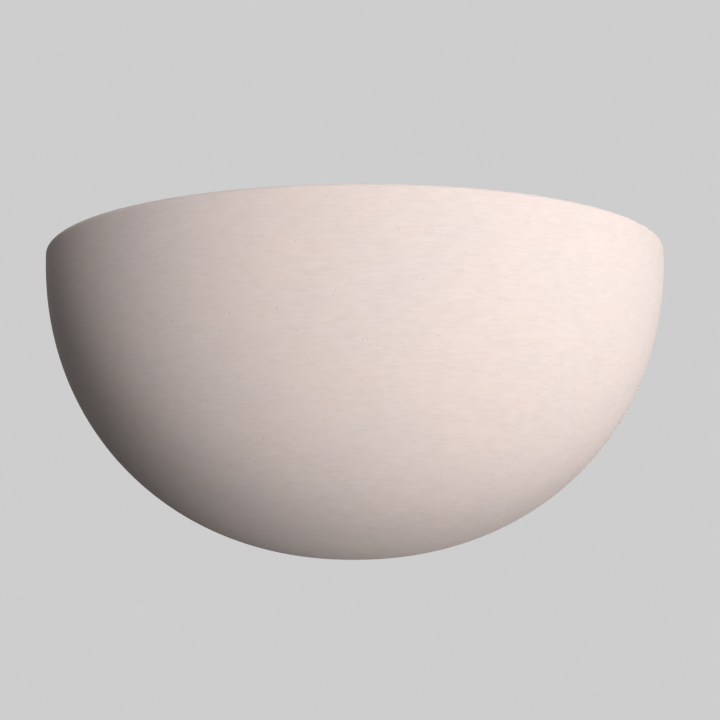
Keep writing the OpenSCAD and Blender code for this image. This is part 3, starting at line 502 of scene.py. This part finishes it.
def bowl_side(inset):
    """Points down the bowl's side in [out, up], from just under the rim to the middle of its bottom."""
    half, height = BOWL_HALF - inset, BOWL_HEIGHT - inset
    points = []
    for i in range(1, SIDE_STEPS):
        t = math.pi / 2 * i / SIDE_STEPS
        down = height * math.sin(t) ** (2 / FULLNESS)
        if down > RIM_ROUND + UNDER_RIM:
            points.append((half * math.cos(t) ** (2 / FULLNESS), RIM_Z - down))
    return points + [(0.0, RIM_Z - height)]


def bowl_section():
    """From the outer bottom up the outside, over the rim and down the inside."""
    outer = arc((BOWL_HALF - RIM_ROUND, RIM_Z - RIM_ROUND), RIM_ROUND, 0, 90, RIM_STEPS)
    inner = arc((BOWL_HALF - BOWL_WALL + RIM_ROUND, RIM_Z - RIM_ROUND), RIM_ROUND, 90, 180, RIM_STEPS)
    return bowl_side(0)[::-1] + outer + inner + bowl_side(BOWL_WALL)


section = [Vector((out, 0, up)) for out, up in bowl_section()]
print("bowl section:", len(section), "points")

# %% Spin the section and close the back
SPIN_STEPS = 120

bowl = draw_wire("bowl_shell", section)
bpy.ops.mesh.select_all(action="SELECT")
bpy.ops.mesh.spin(steps=SPIN_STEPS, angle=math.pi, center=(0, 0, 0), axis=(0, 0, 1))
bpy.ops.mesh.select_all(action="SELECT")
bpy.ops.transform.resize(value=(1, BOWL_DEPTH / BOWL_HALF, 1), center_override=(0, 0, 0))
tidy_surface()


def back_outline(edge):
    """The open edges of the back, without the two short ones across the rim."""
    across_rim = all(v.co.z > RIM_Z - TINY for v in edge.verts)
    return edge.is_boundary and not across_rim


print("open edges at the back:", choose_edges(bowl, back_outline))
bpy.ops.mesh.bridge_edge_loops()
tidy_surface()
bpy.ops.object.mode_set(mode="OBJECT")
reach = [min(v.co[k] for v in bowl.data.vertices) for k in range(3)]
print("bowl reaches", [round(r, 4) for r in reach])

# %% [markdown]
# ### The two lugs
# A shelf is cast at each end of the bowl, with a slot open at the back that slips round a thumb screw. Each
# is drawn from above as a closed wire, filled, pulled up to its thickness and softened along its edges, as
# cast ceramic is. Its outer end stops inside the bowl's wall. Then it is joined to the bowl.

# %% Model the lugs and join them to the bowl
LUG_LOW, LUG_THICK = 18.75 * MM, 10 * MM
LUG_INNER_X, LUG_OUT, LUG_CORNER = 95 * MM, 26 * MM, 5 * MM
LUG_END_BACK_X, LUG_END_FRONT_X = 147.8 * MM, 143.8 * MM
THUMB_X, SLOT_HALF, SLOT_REACH, SLOT_CORNER = 109 * MM, 3 * MM, 17 * MM, 0.8 * MM
LUG_SOFT = 0.8 * MM
LUG_CORNER_STEPS, SLOT_CORNER_STEPS = 8, 4


def lug_outline(side):
    """The lug from above, once round, at its lower face."""
    corner = arc((LUG_INNER_X + LUG_CORNER, LUG_CORNER - LUG_OUT), LUG_CORNER, 180, 270, LUG_CORNER_STEPS)
    slot_y = SLOT_CORNER - SLOT_REACH
    outer_x, inner_x = THUMB_X + SLOT_HALF - SLOT_CORNER, THUMB_X - SLOT_HALF + SLOT_CORNER
    slot_outer = arc((outer_x, slot_y), SLOT_CORNER, 0, -90, SLOT_CORNER_STEPS)
    slot_inner = arc((inner_x, slot_y), SLOT_CORNER, -90, -180, SLOT_CORNER_STEPS)
    ends = [(LUG_END_FRONT_X, -LUG_OUT), (LUG_END_BACK_X, 0), (THUMB_X + SLOT_HALF, 0)]
    outline = [(LUG_INNER_X, 0)] + corner + ends + slot_outer + slot_inner + [(THUMB_X - SLOT_HALF, 0)]
    return [Vector((side * x, y, LUG_LOW)) for x, y in outline + outline[:1]]


def soften(piece, width, segments, angle):
    """Rounds every edge sharper than angle, with a Bevel modifier that is applied."""
    bevel = piece.modifiers.new("soft_edges", "BEVEL")
    bevel.width = width
    bevel.segments = segments
    bevel.angle_limit = math.radians(angle)
    bpy.ops.object.modifier_apply(modifier=bevel.name)


def join_solid(piece, other):
    """Unites another closed piece with this one."""
    bpy.ops.object.select_all(action="DESELECT")
    piece.select_set(True)
    bpy.context.view_layer.objects.active = piece
    union = piece.modifiers.new("join", "BOOLEAN")
    union.operation = "UNION"
    union.solver = "EXACT"
    union.object = other
    bpy.ops.object.modifier_apply(modifier=union.name)
    bpy.data.objects.remove(other)


for side in (-1, 1):
    lug = draw_wire("lug", lug_outline(side))
    bpy.ops.mesh.select_all(action="SELECT")
    bpy.ops.mesh.remove_doubles(threshold=TINY)
    bpy.ops.mesh.edge_face_add()
    bpy.ops.mesh.extrude_region_move(TRANSFORM_OT_translate={"value": (0, 0, LUG_THICK)})
    tidy_surface()
    bpy.ops.object.mode_set(mode="OBJECT")
    soften(lug, LUG_SOFT, segments=3, angle=50)
    join_solid(bowl, lug)
finish_piece(bowl, "bisque_ceramic", "bowl", "ceramic_shell")

# %% [markdown]
# ## The bulb
# A blown bulb is a ball with a shoulder that flows into its neck. Its section is drawn as two outlines, the
# outside and the inside of the glass, and spun once round the lamp's axis, which runs along X.

# %% Spin the bulb
LAMP_Y, LAMP_Z = -62 * MM, 10 * MM
BULB_X, BULB_R = 31 * MM, 30 * MM
NECK_R, SHOULDER_R = 12.5 * MM, 40 * MM
GLASS = 0.8 * MM
GLASS_START_X = -22.5 * MM
SHOULDER_STEPS, BALL_STEPS = 18, 44
BULB_SPIN = 96


def bulb_side(inset):
    """Points along the glass in [out, x], from its neck to its far pole."""
    ball, shoulder, neck = BULB_R - inset, SHOULDER_R + inset, NECK_R - inset
    rise = neck + shoulder
    run = math.sqrt((ball + shoulder) ** 2 - rise ** 2)
    turn = math.degrees(math.atan2(rise, run))
    flare = arc((rise, BULB_X - run), shoulder, 180, 90 + turn, SHOULDER_STEPS)
    ball_side = arc((0, BULB_X), ball, turn - 90, 90, BALL_STEPS)
    return [(neck, GLASS_START_X)] + flare + ball_side[1:-1] + [(0.0, BULB_X + ball)]


glass_section = bulb_side(0) + bulb_side(GLASS)[::-1]
glass_wire = [Vector((x, LAMP_Y, LAMP_Z + out)) for out, x in glass_section + glass_section[:1]]
bulb = draw_wire("bulb_glass", glass_wire)
bpy.ops.mesh.select_all(action="SELECT")
bpy.ops.mesh.spin(steps=BULB_SPIN, angle=2 * math.pi, center=(0, LAMP_Y, LAMP_Z), axis=(1, 0, 0))
tidy_surface()
finish_piece(bulb, "frosted_glass", "lamp", "lamp_envelope")

# %% [markdown]
# ## The leads
# Two silicone leads run from the terminal block along the plate, through the arm's grommet, round in a wide
# loop and in through the lampholder's hollow nipple. A short earth lead ends in a ring terminal. Each is a
# curve through the points of its route, with round cover, made a mesh. At every point the curve's handles lie
# along the line between the two neighbours, so it runs smoothly through all of them.

# %% Routes of the leads
# The points of a route are in millimetres.
LEAD_R = 1.1 * MM
STEPS_BETWEEN_POINTS = 6
COVER_ROUNDNESS = 5
HANDLE_DIVISOR = 6
LIVE_ROUTE = [(-22, -8.5, 12), (-24, -8.5, 12), (-27, -8.5, 12), (-45, -11, 5), (-62, -13, -4),
              (-74.5, -13, -7.2), (-87, -15, -7), (-97, -24, -4), (-101, -37, 2), (-98, -50, 7.5),
              (-90, -60, 10.8), (-82, -62, 11.3), (-70, -62, 11.3), (-66, -62, 13.6), (-63, -62, 16),
              (-62, -62, 16), (-61, -62, 16)]
NEUTRAL_ROUTE = [(-22, -8.5, -12), (-24, -8.5, -12), (-27, -8.5, -12), (-45, -11, -12), (-62, -13, -10.5),
                 (-74.5, -13, -9.8), (-87, -15, -9.6), (-97, -24, -7), (-101, -37, -1), (-98, -50, 4.7),
                 (-90.5, -61, 8.3), (-82, -62, 8.7), (-70, -62, 8.7), (-66, -62, 6.4), (-63, -62, 4),
                 (-62, -62, 4), (-61, -62, 4)]
EARTH_ROUTE = [(-22, -8.5, 0), (-23, -8.5, 0), (-24.5, -8.5, 0), (-28, -7.3, 0), (-32, -5.3, 0),
               (-35, -4.2, 0), (-36.5, -4.2, 0), (-37.5, -4.2, 0)]


# %% Make the leads
def insulated_lead(name, route, slot_name, node):
    """A lead with a round cover. Each handle is a sixth of the line between the two neighbours long."""
    points = [Vector(p) * MM for p in route]
    bpy.ops.object.select_all(action="DESELECT")
    bpy.ops.curve.primitive_bezier_curve_add()
    piece = bpy.context.object
    piece.name = name
    spline = piece.data.splines[0]
    spline.bezier_points.add(len(points) - len(spline.bezier_points))
    for i, knot in enumerate(spline.bezier_points):
        before, after = points[max(i - 1, 0)], points[min(i + 1, len(points) - 1)]
        knot.handle_left_type = knot.handle_right_type = "FREE"
        knot.co = points[i]
        knot.handle_left = points[i] - (after - before) / HANDLE_DIVISOR
        knot.handle_right = points[i] + (after - before) / HANDLE_DIVISOR
    piece.data.dimensions = "3D"
    piece.data.resolution_u = STEPS_BETWEEN_POINTS
    piece.data.bevel_depth = LEAD_R
    piece.data.bevel_resolution = COVER_ROUNDNESS
    piece.data.use_fill_caps = True
    bpy.ops.object.convert(target="MESH")
    bpy.ops.object.mode_set(mode="EDIT")
    tidy_surface()
    finish_piece(piece, slot_name, "wall_frame", node)


insulated_lead("live_lead_silicone", LIVE_ROUTE, "brown_lead", "live_lead")
insulated_lead("neutral_lead_silicone", NEUTRAL_ROUTE, "blue_lead", "neutral_lead")
insulated_lead("earth_lead_silicone", EARTH_ROUTE, "green_yellow_lead", "earth_lead")

# %% [markdown]
# ## Floor
# A plain pale floor, far below, catches a soft shadow in the views from above. A pale floor also throws light
# back up, and in the picture the bowl's underside is dark. So the floor is pale only to what looks at it: to
# the camera, to gloss and through glass. To the light that bounces about it is dark. The lamps leave so deep
# a floor dim, so it also glows at half of its pale colour, again only to what looks at it. What the lamps add
# to that still carries the shadow.

# %% Lay the floor
FLOOR_Z = -1.50
FLOOR_SIZE = 24.0
FLOOR_TO_BOUNCES = (0.06, 0.06, 0.06)
FLOOR_PALE = (0.80, 0.79, 0.79)
FLOOR_CLOUDED = (0.76, 0.75, 0.755)
FLOOR_CLOUD_SIZE = 0.6
FLOOR_GLOW = 0.50

bpy.ops.object.select_all(action="DESELECT")
bpy.ops.mesh.primitive_plane_add(size=FLOOR_SIZE, location=(0, 0, FLOOR_Z))
floor = bpy.context.object
floor.name = "studio_floor"
floor_paint = Finish("floor_paint", Roughness=0.9, Specular_IOR_Level=0.1, Emission_Color=(*FLOOR_PALE, 1.0))
floor_clouds = floor_paint.range(floor_paint.noise(FLOOR_CLOUD_SIZE, detail=2), *NOISE_SPREAD, 0, 1)
pale_floor = floor_paint.mix(floor_clouds, FLOOR_PALE, FLOOR_CLOUDED)
looked_at = seen_rays(floor_paint.tree)
floor_paint.set("Emission Strength", floor_paint.range(looked_at, 0, 1, 0, FLOOR_GLOW))
floor_paint.set("Base Color", floor_paint.mix(looked_at, FLOOR_TO_BOUNCES, pale_floor))
floor.data.materials.append(floor_paint.material)
print("floor at", FLOOR_Z)
